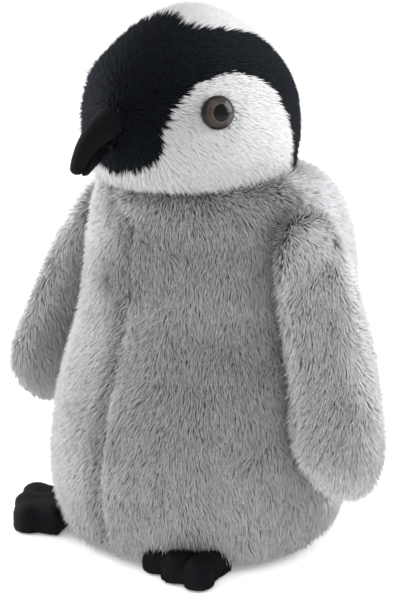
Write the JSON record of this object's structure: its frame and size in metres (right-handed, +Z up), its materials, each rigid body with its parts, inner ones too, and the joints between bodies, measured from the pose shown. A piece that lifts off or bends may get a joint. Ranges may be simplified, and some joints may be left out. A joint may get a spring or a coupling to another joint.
{
  "type": "plush penguin",
  "caption": "Standing plush penguin chick: grey fur body, black hood with white cheeks, drooping beak, glossy eyes, turning head, lifting flippers and flexing feet.",
  "frame": {"origin": "middle of the flat base that the toy stands on", "axes": "+Z up, the chick faces -Y, its left flipper is towards +X"},
  "size_m": [0.2482, 0.1956, 0.301],
  "materials": {
    "silver_plush": "frosted grey fur pile about 12 mm long, combed down",
    "flipper_plush": "lighter frosted grey fur pile, brushed in swirls",
    "pale_plush": "very light grey fur pile",
    "white_plush": "dense white fur pile about 9 mm long",
    "black_plush": "soft blue-black fur pile about 8 mm long",
    "black_velour": "smooth black short-pile velour",
    "base_cloth": "short-pile grey plush, flattened",
    "fibrefill": "white polyester fibre stuffing",
    "bag_cloth": "plain woven cotton",
    "pellets": "small white plastic pellets",
    "eye_paint": "dark grey-brown iris with a black pupil",
    "eye_clear": "polished clear plastic dome",
    "washer_plastic": "white moulded plastic",
    "label_ribbon": "blank white satin ribbon"
  },
  "bodies": {
    "body": {"front_panel_left": "silver_plush", "front_panel_right": "silver_plush", "back_panel_left": "pale_plush", "back_panel_right": "pale_plush", "base_panel": "base_cloth", "body_stuffing": "fibrefill", "pellet_bag": "bag_cloth", "bean_pellets": "pellets", "tail_upper_panel": "pale_plush", "tail_lower_panel": "pale_plush", "care_label": "label_ribbon"},
    "head": {"hood_left": "black_plush", "hood_right": "black_plush", "cheek_left": "white_plush", "cheek_right": "white_plush", "throat_panel": "white_plush", "nape_panel": "white_plush", "head_stuffing": "fibrefill", "upper_beak": "black_velour", "lower_beak": "black_velour", "beak_stuffing": "fibrefill", "eye_disc_left": "eye_paint", "eye_dome_left": "eye_clear", "eye_washer_left": "washer_plastic", "eye_disc_right": "eye_paint", "eye_dome_right": "eye_clear", "eye_washer_right": "washer_plastic"},
    "left_flipper": {"left_flipper_outer_panel": "flipper_plush", "left_flipper_inner_panel": "silver_plush", "left_flipper_stuffing": "fibrefill"},
    "left_foot": {"left_foot_upper": "black_velour", "left_foot_sole": "black_velour", "left_foot_stuffing": "fibrefill"},
    "right_flipper": {"right_flipper_outer_panel": "flipper_plush", "right_flipper_inner_panel": "silver_plush", "right_flipper_stuffing": "fibrefill"},
    "right_foot": {"right_foot_upper": "black_velour", "right_foot_sole": "black_velour", "right_foot_stuffing": "fibrefill"}
  },
  "joints": [
    {"name": "head_turn", "type": "hinge", "parent": "body", "child": "head", "pos_m": [0, -0.004, 0.212], "axis": [0, 0, 1], "range_deg": [-30, 30], "stiffness_Nm_per_rad": 0.05},
    {"name": "left_flipper_lift", "type": "hinge", "parent": "body", "child": "left_flipper", "pos_m": [0.075, 0.006, 0.187], "axis": [0, -1, 0], "range_deg": [0, 70], "stiffness_Nm_per_rad": 0.15},
    {"name": "right_flipper_lift", "type": "hinge", "parent": "body", "child": "right_flipper", "pos_m": [-0.075, 0.006, 0.187], "axis": [0, 1, 0], "range_deg": [-14, 55], "stiffness_Nm_per_rad": 0.3},
    {"name": "left_foot_flex", "type": "hinge", "parent": "body", "child": "left_foot", "pos_m": [0.04445, -0.06348, 0.015], "axis": [-0.8192, -0.5736, 0], "range_deg": [0, 35], "stiffness_Nm_per_rad": 0.03},
    {"name": "right_foot_flex", "type": "hinge", "parent": "body", "child": "right_foot", "pos_m": [-0.06023, -0.04877, 0.015], "axis": [-0.6293, 0.7771, 0], "range_deg": [0, 35], "stiffness_Nm_per_rad": 0.03}
  ]
}
